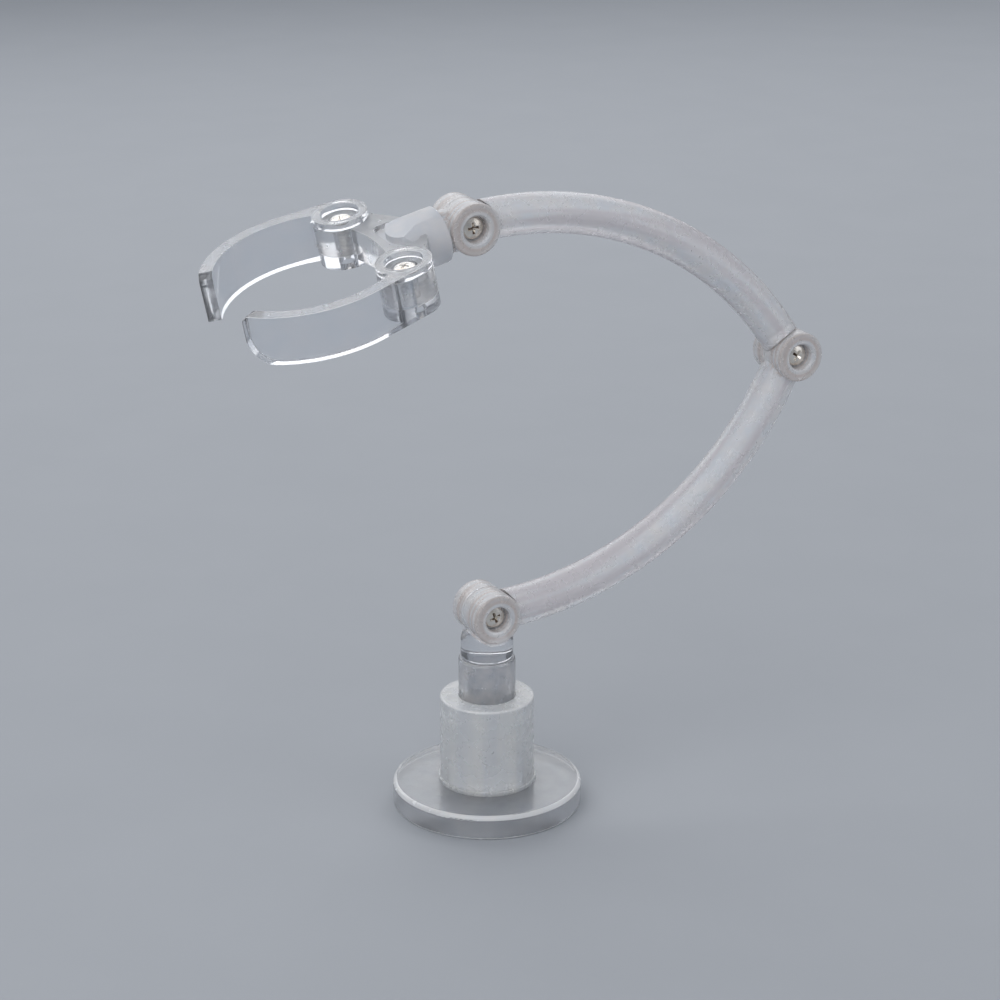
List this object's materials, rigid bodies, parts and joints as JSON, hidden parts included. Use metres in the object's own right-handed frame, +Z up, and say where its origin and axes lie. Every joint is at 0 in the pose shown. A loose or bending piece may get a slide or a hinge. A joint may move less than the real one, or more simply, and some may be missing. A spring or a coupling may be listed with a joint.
{
  "type": "airbrush holder stand",
  "caption": "Small clear desk stand: a round foot disc with a hub, two curved arms on screw hinges and a swivelling ring claw whose jaws open to hold a slim tool or model.",
  "frame": {"origin": "centre of the foot's flat underside", "axes": "+Z up along the foot's swivel axis; the arms lie in the XZ plane and bulge towards +X; the claw reaches towards -X; hinge screw heads face -Y"},
  "size_m": [0.101, 0.0341, 0.0987],
  "materials": {
    "clear_base": "clear moulded plastic, polished rim with a slight haze",
    "frosted_hub": "milky translucent plastic",
    "clear_neck": "clear plastic with a light haze",
    "satin_arm": "satin translucent plastic",
    "clear_yoke": "clear plastic, frosted on the barrel",
    "clear_finger": "clear plastic faces with bright frosted edges",
    "nickel_screw": "nickel-plated steel"
  },
  "bodies": {
    "foot_body": {"base_disc": "clear_base", "base_hub": "frosted_hub", "neck_tube": "clear_neck"},
    "swivel_body": {"lower_plug": "clear_neck"},
    "lower_arm_body": {"lower_arm": "satin_arm", "screw_lower": "nickel_screw"},
    "upper_arm_body": {"upper_arm": "satin_arm", "screw_elbow": "nickel_screw", "screw_upper": "nickel_screw"},
    "claw_plug_body": {"upper_plug": "satin_arm"},
    "claw_body": {"claw_yoke": "clear_yoke"},
    "jaw_rear_body": {"finger_rear": "clear_finger", "screw_finger_rear": "nickel_screw"},
    "jaw_front_body": {"finger_front": "clear_finger", "screw_finger_front": "nickel_screw"}
  },
  "joints": [
    {"name": "foot_swivel", "type": "hinge", "parent": "foot_body", "child": "swivel_body", "pos_m": [0, 0, 0.018], "axis": [0, 0, 1], "continuous": true},
    {"name": "lower_hinge", "type": "hinge", "parent": "swivel_body", "child": "lower_arm_body", "pos_m": [0, 0, 0.03215], "axis": [0, -1, 0], "range_deg": [-3, 140]},
    {"name": "elbow_hinge", "type": "hinge", "parent": "lower_arm_body", "child": "upper_arm_body", "pos_m": [0.05385, 0, 0.06745], "axis": [0, 1, 0], "range_deg": [-25, 130]},
    {"name": "upper_hinge", "type": "hinge", "parent": "upper_arm_body", "child": "claw_plug_body", "pos_m": [-0.00355, 0, 0.0947], "axis": [0, -1, 0], "range_deg": [-85, 70]},
    {"name": "claw_roll", "type": "hinge", "parent": "claw_plug_body", "child": "claw_body", "pos_m": [-0.00355, 0, 0.0947], "axis": [-0.9724, 0, -0.2334], "continuous": true},
    {"name": "jaw_rear_hinge", "type": "hinge", "parent": "claw_body", "child": "jaw_rear_body", "pos_m": [-0.01848, 0.01073, 0.09239], "axis": [-0.2319, -0.1149, 0.9659], "range_deg": [-60, 13]},
    {"name": "jaw_front_hinge", "type": "hinge", "parent": "claw_body", "child": "jaw_front_body", "pos_m": [-0.0179, -0.01073, 0.08998], "axis": [-0.2319, -0.1149, 0.9659], "range_deg": [-18, 55]}
  ]
}
